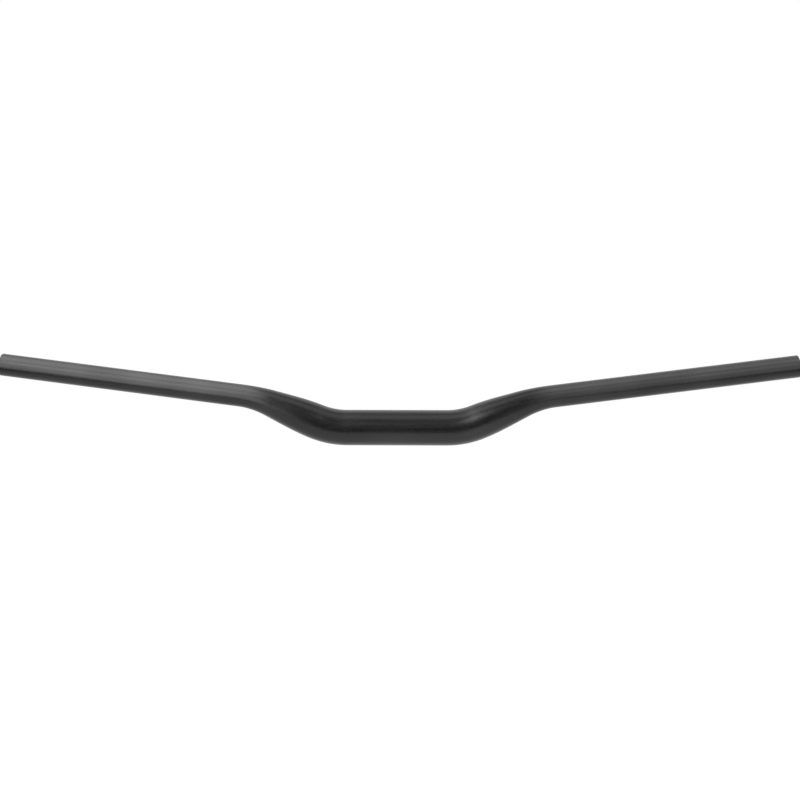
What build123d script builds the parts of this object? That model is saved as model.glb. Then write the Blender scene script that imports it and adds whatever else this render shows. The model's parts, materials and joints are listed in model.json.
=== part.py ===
from build123d import *
import os
from math import radians, sqrt, tan

# Riser handlebar for a bicycle: one aluminium tube, drawn, swaged to a taper and bent.
# Millimetres. The origin lies on the tube's axis, in the middle of the stem's clamp zone.
# +X runs along the clamp zone, +Y to the rider, the way the grips sweep back, and +Z up.

# Form of the bar
overall_width = 800.0  # between the outermost points of the two ends
clamp_straight = 98.0  # straight tube between the two inner bends
rise = 30.5  # from the clamp zone's axis up to the corner of the outer bends
rise_angle = 22.5  # slope of the two rising legs, in degrees
upsweep = 5.0  # how the grips climb outwards, in degrees, seen from the front
backsweep = 9.0  # how the grips run back outwards, in degrees, seen from above
inner_bend_radius = 80.0  # both radii are those of the tube's axis
outer_bend_radius = 98.0

# Section of the tube, whose wall is butted: it thins with the taper
clamp_diameter = 35.0
clamp_wall = 2.2
grip_diameter = 22.2
grip_wall = 1.9
end_chamfer = 0.5  # on the outer and the inner edge of each end

# Sections that carry the taper along a leg and round its outer bend
taper_sections = 7


def bar_axis():
    """The right half of the tube's axis: clamp zone, inner bend, leg, outer bend and grip."""
    inner_setback = inner_bend_radius * tan(radians(rise_angle) / 2)
    inner_corner = Vector(clamp_straight / 2 + inner_setback, 0, 0)
    outer_corner = inner_corner + Vector(rise / tan(radians(rise_angle)), 0, rise)
    grip_slope = Vector(1, tan(radians(backsweep)), tan(radians(upsweep)))
    end_face_radius = grip_diameter / 2 - end_chamfer
    end_face_reach = end_face_radius * sqrt(1 - grip_slope.normalized().X ** 2)
    grip_reach = overall_width / 2 - end_face_reach - outer_corner.X
    end = outer_corner + grip_slope * grip_reach
    corners = [Vector(0, 0, 0), inner_corner, outer_corner, end]
    return FilletPolyline(*corners, radius=[inner_bend_radius, outer_bend_radius])


def disc(axis, at, diameter, across):
    """A round section, square to an axis at a share of its length."""
    return Plane(axis @ at, x_dir=across, z_dir=axis % at) * Circle(diameter / 2)


def swaged(share, start, end):
    """A size at a share of the taper's length: it leaves the start and meets the end level."""
    return start + (end - start) * share**2 * (3 - 2 * share)


def taper(leg, outer_bend, clamp_size, grip_size):
    """The solid taper from one diameter to the other, along the leg and round the bend."""
    axis = Wire([leg, outer_bend])
    across = (leg % 1).cross(outer_bend % 1).normalized()
    shares = [section / (taper_sections - 1) for section in range(taper_sections)]
    discs = [disc(axis, share, swaged(share, clamp_size, grip_size), across) for share in shares]
    return sweep(discs, axis, multisection=True)


def solid_bar(clamp_size, grip_size):
    """A solid bar on the axis and its mirror image, by its diameters at the clamp and the grips."""
    clamp_run, inner_bend, leg, outer_bend, grip_run = bar_axis().edges().sort_by(Axis.X)
    up = Vector(0, 0, 1)
    back = Vector(0, 1, 0)
    clamp_zone = extrude(disc(clamp_run, 0, clamp_size, back), clamp_run.length, both=True)
    elbow = sweep(disc(inner_bend, 0, clamp_size, back), inner_bend)
    arm = taper(leg, outer_bend, clamp_size, grip_size)
    grip_across = up.cross(grip_run % 0).normalized()
    grip = extrude(disc(grip_run, 0, grip_size, grip_across), grip_run.length)
    right = elbow + arm + grip
    return clamp_zone + right + mirror(right, Plane.YZ)


def handlebar():
    """The tube: a bar less its bore, with the edges of its two open ends broken."""
    outside = solid_bar(clamp_diameter, grip_diameter)
    bore = solid_bar(clamp_diameter - 2 * clamp_wall, grip_diameter - 2 * grip_wall)
    tube = outside - bore
    end_edges = tube.faces().filter_by(GeomType.PLANE).edges()
    return chamfer(end_edges, end_chamfer)


def main():
    os.makedirs("parts", exist_ok=True)
    export_step(handlebar(), "parts/handlebar.step")


if __name__ == "__main__":
    main()
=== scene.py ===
import json
from math import atan2, ceil, cos, pi, radians, sin, tan

import bmesh
import bpy
from bpy.props import FloatProperty, FloatVectorProperty, IntProperty, PointerProperty
from mathutils import Matrix, Vector
from mathutils.geometry import intersect_line_line


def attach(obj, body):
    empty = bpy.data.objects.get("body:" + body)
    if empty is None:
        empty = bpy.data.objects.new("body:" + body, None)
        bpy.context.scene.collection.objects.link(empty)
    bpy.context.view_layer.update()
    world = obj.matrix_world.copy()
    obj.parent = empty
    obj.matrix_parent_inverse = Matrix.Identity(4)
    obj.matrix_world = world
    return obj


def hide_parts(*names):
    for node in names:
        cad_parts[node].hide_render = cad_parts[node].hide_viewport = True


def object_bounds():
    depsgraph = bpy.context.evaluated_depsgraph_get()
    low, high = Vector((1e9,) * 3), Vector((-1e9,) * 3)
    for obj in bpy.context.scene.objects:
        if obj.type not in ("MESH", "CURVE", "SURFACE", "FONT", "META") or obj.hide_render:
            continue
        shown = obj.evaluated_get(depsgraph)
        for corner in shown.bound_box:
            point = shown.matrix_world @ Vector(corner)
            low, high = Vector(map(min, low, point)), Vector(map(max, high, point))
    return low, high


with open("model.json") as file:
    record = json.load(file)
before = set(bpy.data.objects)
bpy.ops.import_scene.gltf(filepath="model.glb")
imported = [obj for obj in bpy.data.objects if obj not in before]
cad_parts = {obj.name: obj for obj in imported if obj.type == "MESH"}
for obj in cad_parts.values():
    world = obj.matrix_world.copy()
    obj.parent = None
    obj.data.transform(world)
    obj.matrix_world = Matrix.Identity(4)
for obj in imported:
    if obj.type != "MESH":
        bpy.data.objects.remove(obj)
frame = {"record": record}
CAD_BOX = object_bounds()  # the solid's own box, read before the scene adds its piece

bl_info = {
    "name": "Riser Handlebar",
    "version": (1, 0, 0),
    "blender": (4, 5, 0),
    "location": "View3D > Sidebar > Handlebar",
    "description": "A bicycle's riser handlebar in black anodised aluminium, over a white studio floor",
    "category": "Add Mesh",
}

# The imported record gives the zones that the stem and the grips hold. Their sizes are in millimetres,
# and the right grip's place is in metres, as the lengths below are.
MILLIMETRE = 0.001
MOUNTS = {mount["name"]: mount for mount in frame["record"]["mounts"]}
CLAMP = MOUNTS["stem_clamp"]["dims"]
GRIP = MOUNTS["grip_right"]["dims"]
GRIP_MIDDLE = Vector(MOUNTS["grip_right"]["pos_m"])
GRIP_DIRECTION = Vector(MOUNTS["grip_right"]["axis"]).normalized()
END_BORE = MOUNTS["end_bore_right"]["dims"]

UP = Vector((0, 0, 1))

# The mesh's rings along the tube lie close together where it bends and tapers.
CLAMP_SPACING = 0.02
BEND_SPACING = 0.002
GRIP_SPACING = 0.03
LIP_RING = 0.0015  # last ring before each end, which keeps the lip's shading off the long wall

# The ends' edges, whose faces meet at more than the lip angle, are rounded a little.
LIP_ANGLE = radians(30)
LIP_ROUNDING = 0.00012
SMOOTH_ANGLE = radians(35)  # faces that meet at less than this shade as one surface

MERGE_DISTANCE = 1e-6  # points that lie closer than this are one
SECTION_DIGITS = 7  # decimals of a metre that tell the tube's sections apart

# Attribute that keeps each point's place on the straight tube, which the finish reads.
UNBENT = "unbent"

# Sockets of a Mix node, by number, because those for numbers and for colours share their names.
MIX_SHARE = 0
NUMBER_A = 2
NUMBER_B = 3
NUMBER_RESULT = 0
COLOUR_A = 6
COLOUR_B = 7
COLOUR_RESULT = 2

# Shares of the patterns: pits beside the clouds in the dye, and lines beside the pits in the grain.
PITS_IN_DYE = 0.4
LINES_IN_GRAIN = 0.45

# Noise crowds round a half, so these stretches of it are spread over the whole change.
DYE_LOW = 0.35
DYE_HIGH = 0.65
GRAIN_LOW = 0.3
GRAIN_HIGH = 0.7

RELIEF_STRENGTH = 0.25  # share of the relief's slopes that the light follows

# Distances from the tube's end at which the metal starts to show through the dye, and shows most.
BARE_START = 0.0007
BARE_FULL = 0.0002

# Power of a soft rectangular light whose face is as bright as full white, in watts per square metre.
WATTS_PER_AREA = 4.0

# What the panels aim at, a little over the clamp zone's axis.
BAR_MIDDLE = Vector((0, 0, 0.02))

# Tall panels ahead of the bar, on the picture's left and right.
SIDE_AZIMUTH = radians(33)
SIDE_ELEVATION = radians(19)
SIDE_DISTANCE = 1.7
SIDE_SIZE = (0.8, 1.8)

# Low strips over the two arms, which face straight down.
STRIP_REACH = 0.37
STRIP_AHEAD = 0.06
STRIP_HEIGHT = 0.37
STRIP_SIZE = (0.48, 0.62)
STRIP_SHARE = 0.8  # its brightness against that of the tall panel on its side

# Wide panels over the bar and behind it.
TOP_HEIGHT = 1.3
TOP_SIZE = (2.4, 0.8)
BACK_ELEVATION = radians(35)
BACK_DISTANCE = 2.0
BACK_SIZE = (2.4, 2.0)

SENSOR_WIDTH = 36.0  # the camera's, in millimetres


def linear(colour):
    """The linear colour of an sRGB hex value."""
    shares = [int(colour[place : place + 2], 16) / 255 for place in (1, 3, 5)]
    return [share / 12.92 if share <= 0.04045 else ((share + 0.055) / 1.055) ** 2.4 for share in shares]


class HandlebarSizes(bpy.types.PropertyGroup):
    """Sizes of the tube and of its bends."""

    clamp_diameter: FloatProperty(
        name="Clamp Diameter",
        description="Outside of the middle zone, which the stem clamps",
        default=2 * CLAMP["r_mm"] * MILLIMETRE,
        unit="LENGTH",
    )
    clamp_length: FloatProperty(
        name="Clamp Length",
        description="Straight tube between the two inner bends",
        default=CLAMP["length_mm"] * MILLIMETRE,
        unit="LENGTH",
    )
    clamp_wall: FloatProperty(
        name="Clamp Wall",
        description="Thickness of the tube in the clamp zone",
        default=0.0022,
        unit="LENGTH",
    )
    grip_diameter: FloatProperty(
        name="Grip Diameter",
        description="Outside of the straight ends, which carry the grips and levers",
        default=2 * GRIP["r_mm"] * MILLIMETRE,
        unit="LENGTH",
    )
    grip_bore: FloatProperty(
        name="Grip Bore",
        description="Inside of the straight ends",
        default=2 * END_BORE["r_mm"] * MILLIMETRE,
        unit="LENGTH",
    )
    grip_length: FloatProperty(
        name="Grip Length",
        description="Full round wall from the outer bend to the end's chamfer",
        default=GRIP["length_mm"] * MILLIMETRE,
        unit="LENGTH",
    )
    inner_bend_radius: FloatProperty(
        name="Inner Bend Radius",
        description="Radius of the tube's axis in the bends beside the clamp zone",
        default=0.080,
        unit="LENGTH",
    )
    rise_angle: FloatProperty(
        name="Rise Angle",
        description="Slope of the two rising legs",
        default=radians(22.5),
        unit="ROTATION",
    )
    end_chamfer: FloatProperty(
        name="End Chamfer",
        description="Break on the outer and the inner edge of each end",
        default=0.0005,
        unit="LENGTH",
    )
    sides: IntProperty(
        name="Sides",
        description="Facets round the tube",
        default=96,
        min=12,
    )


class HandlebarFinish(bpy.types.PropertyGroup):
    """Colours and grain of the anodised surface."""

    dye: FloatVectorProperty(
        name="Dye",
        description="Colour where the dye sits deep",
        default=linear("#343434"),
        subtype="COLOR",
    )
    thin_dye: FloatVectorProperty(
        name="Thin Dye",
        description="Colour where the oxide took less dye",
        default=linear("#3d3d3d"),
        subtype="COLOR",
    )
    cloud_width: FloatProperty(
        name="Cloud Width",
        description="Width of the slow changes in the dye",
        default=0.055,
        unit="LENGTH",
    )
    bare_edge: FloatVectorProperty(
        name="Bare Edge",
        description="Colour of the metal that shows at the ends' edges",
        default=linear("#8c8f93"),
        subtype="COLOR",
    )
    bare_share: FloatProperty(
        name="Bare Share",
        description="How much of the metal shows at the ends' edges",
        default=0.35,
        min=0.0,
        max=1.0,
        subtype="FACTOR",
    )
    roughness: FloatProperty(
        name="Roughness",
        description="Middle roughness of the blasted surface",
        default=0.33,
        min=0.05,
        max=1.0,
        subtype="FACTOR",
    )
    roughness_change: FloatProperty(
        name="Roughness Change",
        description="How far the grain takes the roughness up and down",
        default=0.07,
        min=0.0,
        max=1.0,
        subtype="FACTOR",
    )
    relief: FloatProperty(
        name="Relief",
        description="Height of the grain",
        default=0.00006,
        unit="LENGTH",
    )
    pit_width: FloatProperty(
        name="Pit Width",
        description="Width of the blasted pits as they are drawn",
        default=0.0014,
        unit="LENGTH",
    )
    line_spacing: FloatProperty(
        name="Line Spacing",
        description="Spacing of the lines that run along the drawn tube",
        default=0.0016,
        unit="LENGTH",
    )
    line_length: FloatProperty(
        name="Line Length",
        description="Length of the lines that run along the drawn tube",
        default=0.07,
        unit="LENGTH",
    )


class HandlebarStage(bpy.types.PropertyGroup):
    """Floor, lights and camera."""

    floor_drop: FloatProperty(
        name="Floor Drop",
        description="Room between the bar's lowest point and the floor",
        default=0.3,
        unit="LENGTH",
    )
    floor_width: FloatProperty(
        name="Floor Width",
        description="Width of the lit floor, past which the bar mirrors the dim room",
        default=1.4,
        unit="LENGTH",
    )
    floor_depth: FloatProperty(
        name="Floor Depth",
        description="Depth of the lit floor, from ahead of the bar to behind it",
        default=2.0,
        unit="LENGTH",
    )
    white: FloatVectorProperty(
        name="White",
        description="Colour of the lit floor and of the paper behind it",
        default=linear("#ffffff"),
        subtype="COLOR",
    )
    floor_light: FloatProperty(
        name="Floor Light",
        description="Brightness of the lit floor, against full white",
        default=1.2,
        min=0.0,
    )
    left_light: FloatProperty(
        name="Left Light",
        description="Brightness of the tall panel on the left, against full white, which its strip follows",
        default=3.2,
        min=0.0,
    )
    right_light: FloatProperty(
        name="Right Light",
        description="Brightness of the tall panel on the right, against full white, which its strip follows",
        default=1.5,
        min=0.0,
    )
    top_light: FloatProperty(
        name="Top Light",
        description="Brightness of the wide panel over the bar, against full white",
        default=1.05,
        min=0.0,
    )
    back_light: FloatProperty(
        name="Back Light",
        description="Brightness of the wide panel behind the bar, against full white",
        default=1.0,
        min=0.0,
    )
    room_light: FloatProperty(
        name="Room Light",
        description="Brightness of the room between the panels and past the floor, against full white",
        default=0.072,
        min=0.0,
    )
    camera_azimuth: FloatProperty(
        name="Camera Azimuth",
        description="Turn of the camera from straight ahead of the bar, to the picture's right",
        default=radians(1.855),
        unit="ROTATION",
    )
    camera_elevation: FloatProperty(
        name="Camera Elevation",
        description="Height of the camera's line of sight above the level",
        default=radians(15.49),
        unit="ROTATION",
    )
    camera_roll: FloatProperty(
        name="Camera Roll",
        description="Turn of the picture, clockwise",
        default=radians(-0.298),
        unit="ROTATION",
    )
    camera_distance: FloatProperty(
        name="Camera Distance",
        description="From the camera to the middle of the clamp zone",
        default=2.1944,
        unit="LENGTH",
    )
    aim_right: FloatProperty(
        name="Aim Right",
        description="From the middle of the clamp zone to the picture's middle, to the right",
        default=0.0032,
        unit="LENGTH",
    )
    aim_up: FloatProperty(
        name="Aim Up",
        description="From the middle of the clamp zone to the picture's middle, upwards",
        default=0.02736,
        unit="LENGTH",
    )
    lens: FloatProperty(
        name="Lens",
        description="Focal length on a 36 mm wide sensor",
        default=100.0,
        unit="CAMERA",
    )


def bend(along, start, radius, turn, roll):
    """How a bend carries the section at a place along the straight tube.

    A section before the bend stays, one within it goes round the arc, and one past it goes on with
    the arc's far end.
    """
    turned = min(max((along - start) / radius, 0.0), turn)
    plane = Matrix.Rotation(roll, 4, "X")
    hub = Matrix.Translation((0, 0, radius))
    arc = hub @ Matrix.Rotation(-turned, 4, "Y") @ hub.inverted()
    drawn_back = Matrix.Translation((-start - turned * radius, 0, 0))
    return Matrix.Translation((start, 0, 0)) @ plane @ arc @ plane.inverted() @ drawn_back


class BarPath:
    """The right half of the tube's axis, and its mirror image.

    It holds where the stretches start along the straight tube, and carries the tube's sections to
    their places on the bent bar.
    """

    def __init__(self, sizes):
        straight = Vector((1, 0, 0))
        self.inner_start = sizes.clamp_length / 2
        self.inner_radius = sizes.inner_bend_radius
        self.inner_turn = sizes.rise_angle
        self.leg_start = self.inner_start + self.inner_radius * self.inner_turn
        raised = self.inner_bend(self.leg_start)
        leg_foot = raised @ (straight * self.leg_start)
        leg = raised.to_3x3() @ straight

        # The outer bend is the arc between the leg and the grip, whose place the record gives.
        grip_start = GRIP_MIDDLE - GRIP_DIRECTION * sizes.grip_length / 2
        corner = intersect_line_line(leg_foot, leg_foot + leg, grip_start, grip_start + GRIP_DIRECTION)[0]
        setback = (grip_start - corner).length
        self.outer_start = self.leg_start + (corner - leg_foot).length - setback
        self.outer_turn = leg.angle(GRIP_DIRECTION)
        self.outer_radius = setback / tan(self.outer_turn / 2)
        seen_from_leg = raised.to_3x3().inverted() @ GRIP_DIRECTION
        self.outer_roll = atan2(-seen_from_leg.y, seen_from_leg.z)
        self.grip_start = self.outer_start + self.outer_radius * self.outer_turn
        self.lip = self.grip_start + sizes.grip_length
        self.end = self.lip + sizes.end_chamfer

    def inner_bend(self, along):
        """The inner bend's part in a section's place."""
        return bend(along, self.inner_start, self.inner_radius, self.inner_turn, 0.0)

    def place(self, along):
        """Carries a section of the straight tube to its place on the bent bar."""
        outer = bend(abs(along), self.outer_start, self.outer_radius, self.outer_turn, self.outer_roll)
        carried = self.inner_bend(abs(along)) @ outer
        if along >= 0:
            return carried
        flip = Matrix.Diagonal((-1, 1, 1, 1))
        return flip @ carried @ flip


def swaged(share, start, end):
    """A radius at a share of the taper's length: it leaves the start and meets the end level."""
    return start + (end - start) * share**2 * (3 - 2 * share)


def spaced(start, end, spacing):
    """Places after the start, up to the end, no further apart than the spacing."""
    steps = ceil((end - start) / spacing)
    return [start + (end - start) * step / steps for step in range(1, steps + 1)]


def wall_profile(sizes, path):
    """The tube's wall in section, as places along the tube and radii.

    It runs out along the outside, over the end and back along the inside.
    """
    stations = [0.0]
    stations += spaced(0.0, path.inner_start, CLAMP_SPACING)
    stations += spaced(path.inner_start, path.grip_start, BEND_SPACING)
    stations += spaced(path.grip_start, path.lip - LIP_RING, GRIP_SPACING)
    stations += [path.lip]
    taper = path.grip_start - path.leg_start
    shares = [min(max((along - path.leg_start) / taper, 0.0), 1.0) for along in stations]
    clamp_outside = sizes.clamp_diameter / 2
    clamp_inside = clamp_outside - sizes.clamp_wall
    grip_outside = sizes.grip_diameter / 2
    grip_inside = sizes.grip_bore / 2
    out = [(along, swaged(share, clamp_outside, grip_outside)) for along, share in zip(stations, shares)]
    back = [(along, swaged(share, clamp_inside, grip_inside)) for along, share in zip(stations, shares)]
    end = [(path.end, grip_outside - sizes.end_chamfer), (path.end, grip_inside + sizes.end_chamfer)]
    return out + end + back[::-1]


def draw_tube(mesh, sizes, path):
    """The straight tube as it is before bending: its wall's section, turned about the axis and mirrored."""
    places = [Vector((along, 0, radius)) for along, radius in wall_profile(sizes, path)]
    point = mesh.verts.new(places[0])
    for here, there in zip(places, places[1:]):
        point = bmesh.ops.extrude_vert_indiv(mesh, verts=[point])["verts"][0]
        bmesh.ops.translate(mesh, vec=there - here, verts=[point])
    bmesh.ops.spin(
        mesh,
        geom=mesh.verts[:] + mesh.edges[:],
        axis=(1, 0, 0),
        cent=(0, 0, 0),
        angle=2 * pi,
        steps=sizes.sides,
        use_merge=True,
    )
    half = mesh.verts[:] + mesh.edges[:] + mesh.faces[:]
    bmesh.ops.mirror(mesh, geom=half, axis="X", merge_dist=MERGE_DISTANCE)
    bmesh.ops.remove_doubles(mesh, verts=mesh.verts, dist=MERGE_DISTANCE)
    bmesh.ops.recalc_face_normals(mesh, faces=mesh.faces)
    lips = [edge for edge in mesh.edges if edge.calc_face_angle() > LIP_ANGLE]
    bmesh.ops.bevel(
        mesh,
        geom=lips,
        offset=LIP_ROUNDING,
        segments=2,
        profile=0.5,
        affect="EDGES",
        material=-1,
    )


def bend_tube(mesh, path):
    """Bends the straight tube section by section, and keeps each point's straight place for the finish."""
    unbent = mesh.verts.layers.float_vector.new(UNBENT)
    sections = {}
    for vert in mesh.verts:
        vert[unbent] = vert.co
        sections.setdefault(round(vert.co.x, SECTION_DIGITS), []).append(vert)
    for along, ring in sections.items():
        bmesh.ops.transform(mesh, matrix=path.place(along), verts=ring)


def add_piece(scene, name, mesh, material):
    """Adds an object with a finished mesh and its material."""
    data = bpy.data.meshes.new(name)
    mesh.to_mesh(data)
    mesh.free()
    data.materials.append(material)
    piece = bpy.data.objects.new(name, data)
    scene.collection.objects.link(piece)
    return piece


def empty_tree(owner):
    """The node tree of a material or a world, emptied."""
    owner.use_nodes = True
    owner.node_tree.nodes.clear()
    return owner.node_tree


def add_node(tree, kind, values=None, links=None, **settings):
    """Adds a node with its settings, its sockets' values and the links into it."""
    node = tree.nodes.new(kind)
    for name, value in settings.items():
        setattr(node, name, value)
    for socket, value in (values or {}).items():
        node.inputs[socket].default_value = value
    for socket, source in (links or {}).items():
        tree.links.new(source, node.inputs[socket])
    return node


def anodised_aluminium(finish, end):
    """Aluminium tube, blasted, black anodised and sealed.

    The eye sees a deep black with a satin sheen that runs along the tube, broken by the blasted grain
    and by faint lines from drawing. The dye is a little uneven over some centimetres. The edges of
    the two ends, which lie at the end's distance from the straight tube's middle, took less of it.
    """
    material = bpy.data.materials.new("black_anodised_aluminium")
    tree = empty_tree(material)
    place = add_node(tree, "ShaderNodeAttribute", attribute_name=UNBENT).outputs["Vector"]

    # Blasted pits are about 0.1 mm wide; they are drawn wider, because they wouldn't show otherwise.
    pits = add_node(
        tree,
        "ShaderNodeTexNoise",
        {"Scale": 1 / finish.pit_width, "Detail": 2.0},
        {"Vector": place},
    ).outputs["Fac"]

    # Drawing lines are some centimetres long and under 0.1 mm wide; these are drawn wider too.
    lengthways = add_node(
        tree,
        "ShaderNodeVectorMath",
        {1: (1 / finish.line_length, 1 / finish.line_spacing, 1 / finish.line_spacing)},
        {0: place},
        operation="MULTIPLY",
    ).outputs["Vector"]
    lines = add_node(
        tree,
        "ShaderNodeTexNoise",
        {"Scale": 1.0, "Detail": 3.0},
        {"Vector": lengthways},
    ).outputs["Fac"]

    # The dye changes slowly along and round the tube, and a little from pit to pit.
    clouds = add_node(
        tree,
        "ShaderNodeTexNoise",
        {"Scale": 1 / finish.cloud_width, "Detail": 1.0},
        {"Vector": place},
    ).outputs["Fac"]
    uneven = add_node(
        tree,
        "ShaderNodeMix",
        {MIX_SHARE: PITS_IN_DYE},
        {NUMBER_A: clouds, NUMBER_B: pits},
        data_type="FLOAT",
    ).outputs[NUMBER_RESULT]
    thinned = add_node(
        tree,
        "ShaderNodeMapRange",
        {"From Min": DYE_LOW, "From Max": DYE_HIGH},
        {"Value": uneven},
    ).outputs["Result"]
    dyed = add_node(
        tree,
        "ShaderNodeMix",
        {COLOUR_A: (*finish.dye, 1), COLOUR_B: (*finish.thin_dye, 1)},
        {MIX_SHARE: thinned},
        data_type="RGBA",
    ).outputs[COLOUR_RESULT]

    # At the edges of the ends the metal shows through.
    along = add_node(tree, "ShaderNodeSeparateXYZ", links={"Vector": place}).outputs["X"]
    reach = add_node(tree, "ShaderNodeMath", links={0: along}, operation="ABSOLUTE").outputs["Value"]
    edge = add_node(
        tree,
        "ShaderNodeMapRange",
        {"From Min": end - BARE_START, "From Max": end - BARE_FULL, "To Max": finish.bare_share},
        {"Value": reach},
    ).outputs["Result"]
    bare = add_node(
        tree,
        "ShaderNodeMath",
        links={0: edge, 1: pits},
        operation="MULTIPLY",
    ).outputs["Value"]
    colour = add_node(
        tree,
        "ShaderNodeMix",
        {COLOUR_B: (*finish.bare_edge, 1)},
        {MIX_SHARE: bare, COLOUR_A: dyed},
        data_type="RGBA",
    ).outputs[COLOUR_RESULT]

    # The grain breaks up the sheen and stands out a little.
    grain = add_node(
        tree,
        "ShaderNodeMix",
        {MIX_SHARE: LINES_IN_GRAIN},
        {NUMBER_A: pits, NUMBER_B: lines},
        data_type="FLOAT",
    ).outputs[NUMBER_RESULT]
    roughness = add_node(
        tree,
        "ShaderNodeMapRange",
        {
            "From Min": GRAIN_LOW,
            "From Max": GRAIN_HIGH,
            "To Min": finish.roughness - finish.roughness_change,
            "To Max": finish.roughness + finish.roughness_change,
        },
        {"Value": grain},
    ).outputs["Result"]
    raised = add_node(
        tree,
        "ShaderNodeBump",
        {"Strength": RELIEF_STRENGTH, "Distance": finish.relief},
        {"Height": grain},
    ).outputs["Normal"]
    metal = add_node(
        tree,
        "ShaderNodeBsdfPrincipled",
        {"Metallic": 1.0},
        {"Base Color": colour, "Roughness": roughness, "Normal": raised},
    ).outputs["BSDF"]
    add_node(tree, "ShaderNodeOutputMaterial", links={"Surface": metal})
    return material


class HANDLEBAR_OT_tube(bpy.types.Operator):
    """Draws the tube, bends it and gives it its anodised finish"""

    bl_idname = "handlebar.tube"
    bl_label = "Make Tube"

    def execute(self, context):
        scene = context.scene
        sizes = scene.handlebar_sizes
        path = BarPath(sizes)
        mesh = bmesh.new()
        draw_tube(mesh, sizes, path)
        bend_tube(mesh, path)
        for face in mesh.faces:
            face.smooth = True
        metal = anodised_aluminium(scene.handlebar_finish, path.end)
        tube = add_piece(scene, "handlebar_tube", mesh, metal)
        tube.data.set_sharp_from_angle(angle=SMOOTH_ANGLE)
        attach(tube, "root")
        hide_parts("handlebar")
        return {"FINISHED"}


def opal_acrylic(white, brightness):
    """Opal acrylic sheet, lit from below: the eye sees an even white with no shadow."""
    material = bpy.data.materials.new("opal_acrylic_lit_from_below")
    tree = empty_tree(material)
    glow = add_node(
        tree,
        "ShaderNodeEmission",
        {"Color": (*white, 1), "Strength": brightness},
    ).outputs["Emission"]
    add_node(tree, "ShaderNodeOutputMaterial", links={"Surface": glow})
    return material


def lay_floor(scene, stage):
    """Lays the lit floor under the bar."""
    mesh = bmesh.new()
    bmesh.ops.create_grid(mesh, x_segments=1, y_segments=1, size=0.5)
    bmesh.ops.scale(mesh, vec=(stage.floor_width, stage.floor_depth, 1), verts=mesh.verts)
    bmesh.ops.translate(mesh, vec=(0, 0, CAD_BOX[0].z - stage.floor_drop), verts=mesh.verts)
    floor = add_piece(scene, "floor", mesh, opal_acrylic(stage.white, stage.floor_light))


def studio_room(stage):
    """The world past the floor and the panels: white paper to the camera, and a dim room to the bar."""
    room = bpy.data.worlds.new("studio")
    tree = empty_tree(room)
    paper = add_node(tree, "ShaderNodeBackground", {"Color": (*stage.white, 1)}).outputs["Background"]
    dim = add_node(
        tree,
        "ShaderNodeBackground",
        {"Color": (1, 1, 1, 1), "Strength": stage.room_light},
    ).outputs["Background"]
    seen = add_node(tree, "ShaderNodeLightPath").outputs["Is Camera Ray"]
    both = add_node(tree, "ShaderNodeMixShader", links={0: seen, 1: dim, 2: paper}).outputs["Shader"]
    add_node(tree, "ShaderNodeOutputWorld", links={"Surface": both})
    return room


def from_bearing(azimuth, elevation, distance):
    """A place at a bearing from the clamp zone's middle.

    Azimuth 0 is straight ahead of the bar, and 90 degrees is to the picture's right.
    """
    level = distance * cos(elevation)
    return Vector((level * sin(azimuth), -level * cos(azimuth), distance * sin(elevation)))


def add_panel(scene, name, place, aim, size, brightness):
    """Adds a soft rectangular light that the camera doesn't see.

    Its size is its width and height, and its face is as bright as a share of full white.
    """
    width, height = size
    light = bpy.data.lights.new(name, "AREA")
    light.shape = "RECTANGLE"
    light.size = width
    light.size_y = height
    light.energy = brightness * WATTS_PER_AREA * width * height
    lamp = bpy.data.objects.new(name, light)
    lamp.location = place
    lamp.rotation_mode = "QUATERNION"
    lamp.rotation_quaternion = (aim - place).to_track_quat("-Z", "Y")
    lamp.visible_camera = False
    scene.collection.objects.link(lamp)


def hang_panels(scene, stage):
    """Hangs white panels on both sides, over both arms, over the bar and behind it."""
    for name, side, brightness in (("left", -1, stage.left_light), ("right", 1, stage.right_light)):
        ahead = from_bearing(side * SIDE_AZIMUTH, SIDE_ELEVATION, SIDE_DISTANCE)
        add_panel(scene, name + "_panel", ahead, BAR_MIDDLE, SIDE_SIZE, brightness)
        over_arm = Vector((side * STRIP_REACH, -STRIP_AHEAD, STRIP_HEIGHT))
        add_panel(scene, name + "_strip", over_arm, over_arm - UP, STRIP_SIZE, STRIP_SHARE * brightness)
    add_panel(scene, "top_panel", UP * TOP_HEIGHT, BAR_MIDDLE, TOP_SIZE, stage.top_light)
    behind = from_bearing(pi, BACK_ELEVATION, BACK_DISTANCE)
    add_panel(scene, "back_panel", behind, BAR_MIDDLE, BACK_SIZE, stage.back_light)


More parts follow.
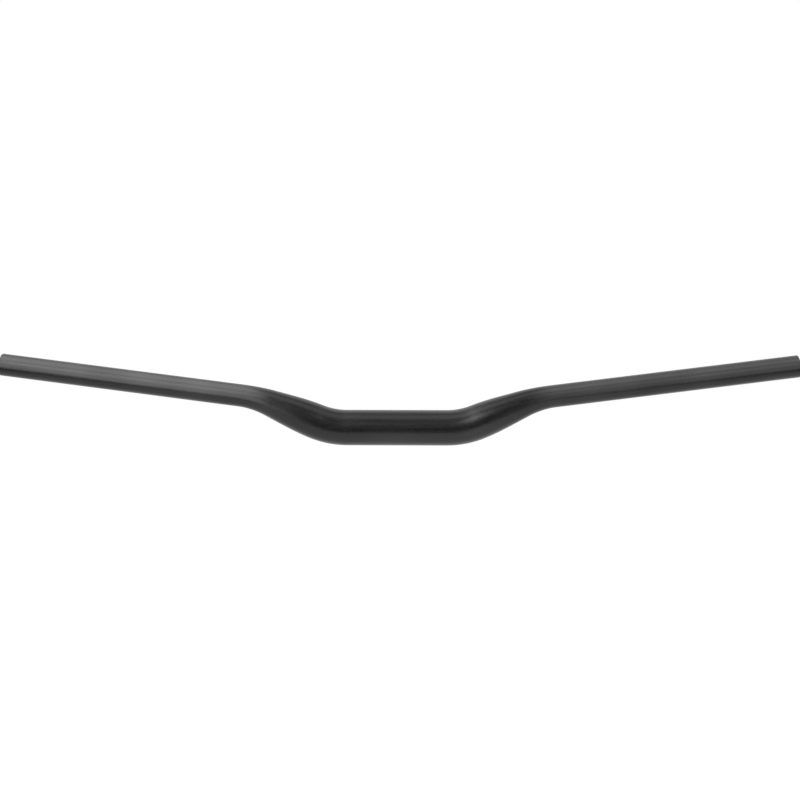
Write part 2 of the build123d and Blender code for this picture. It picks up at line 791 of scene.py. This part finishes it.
def place_camera(scene, stage):
    """Looks at the bar from ahead and a little above, with the clamp zone under the picture's middle."""
    data = bpy.data.cameras.new("camera")
    data.sensor_width = SENSOR_WIDTH
    data.lens = stage.lens
    camera = bpy.data.objects.new("camera", data)
    camera.location = from_bearing(stage.camera_azimuth, stage.camera_elevation, stage.camera_distance)
    sight = -camera.location.normalized()
    right = sight.cross(UP).normalized()
    aim = right * stage.aim_right + right.cross(sight) * stage.aim_up
    level = (aim - camera.location).to_track_quat("-Z", "Y").to_matrix()
    camera.rotation_mode = "QUATERNION"
    camera.rotation_quaternion = (level @ Matrix.Rotation(stage.camera_roll, 3, "Z")).to_quaternion()
    scene.collection.objects.link(camera)
    scene.camera = camera


class HANDLEBAR_OT_stage(bpy.types.Operator):
    """Sets out the white floor, the soft lights and the camera"""

    bl_idname = "handlebar.stage"
    bl_label = "Set Out Stage"

    def execute(self, context):
        scene = context.scene
        stage = scene.handlebar_stage
        lay_floor(scene, stage)
        scene.world = studio_room(stage)
        hang_panels(scene, stage)
        place_camera(scene, stage)
        scene.view_settings.view_transform = "Standard"
        return {"FINISHED"}


class HANDLEBAR_PT_panel(bpy.types.Panel):
    """Lists the handlebar's sizes, finish and stage"""

    bl_idname = "HANDLEBAR_PT_panel"
    bl_label = "Riser Handlebar"
    bl_space_type = "VIEW_3D"
    bl_region_type = "UI"
    bl_category = "Handlebar"

    def draw(self, context):
        scene = context.scene
        for operator, groups in (
            ("handlebar.tube", (scene.handlebar_sizes, scene.handlebar_finish)),
            ("handlebar.stage", (scene.handlebar_stage,)),
        ):
            box = self.layout.box()
            for group in groups:
                for name in group.__annotations__:
                    box.prop(group, name)
            box.operator(operator)


CLASSES = (
    HandlebarSizes,
    HandlebarFinish,
    HandlebarStage,
    HANDLEBAR_OT_tube,
    HANDLEBAR_OT_stage,
    HANDLEBAR_PT_panel,
)


def register():
    for cls in CLASSES:
        bpy.utils.register_class(cls)
    bpy.types.Scene.handlebar_sizes = PointerProperty(type=HandlebarSizes)
    bpy.types.Scene.handlebar_finish = PointerProperty(type=HandlebarFinish)
    bpy.types.Scene.handlebar_stage = PointerProperty(type=HandlebarStage)


def unregister():
    del bpy.types.Scene.handlebar_stage
    del bpy.types.Scene.handlebar_finish
    del bpy.types.Scene.handlebar_sizes
    for cls in reversed(CLASSES):
        bpy.utils.unregister_class(cls)


def main():
    register()
    bpy.ops.handlebar.tube()
    bpy.ops.handlebar.stage()


if __name__ == "__main__":
    main()
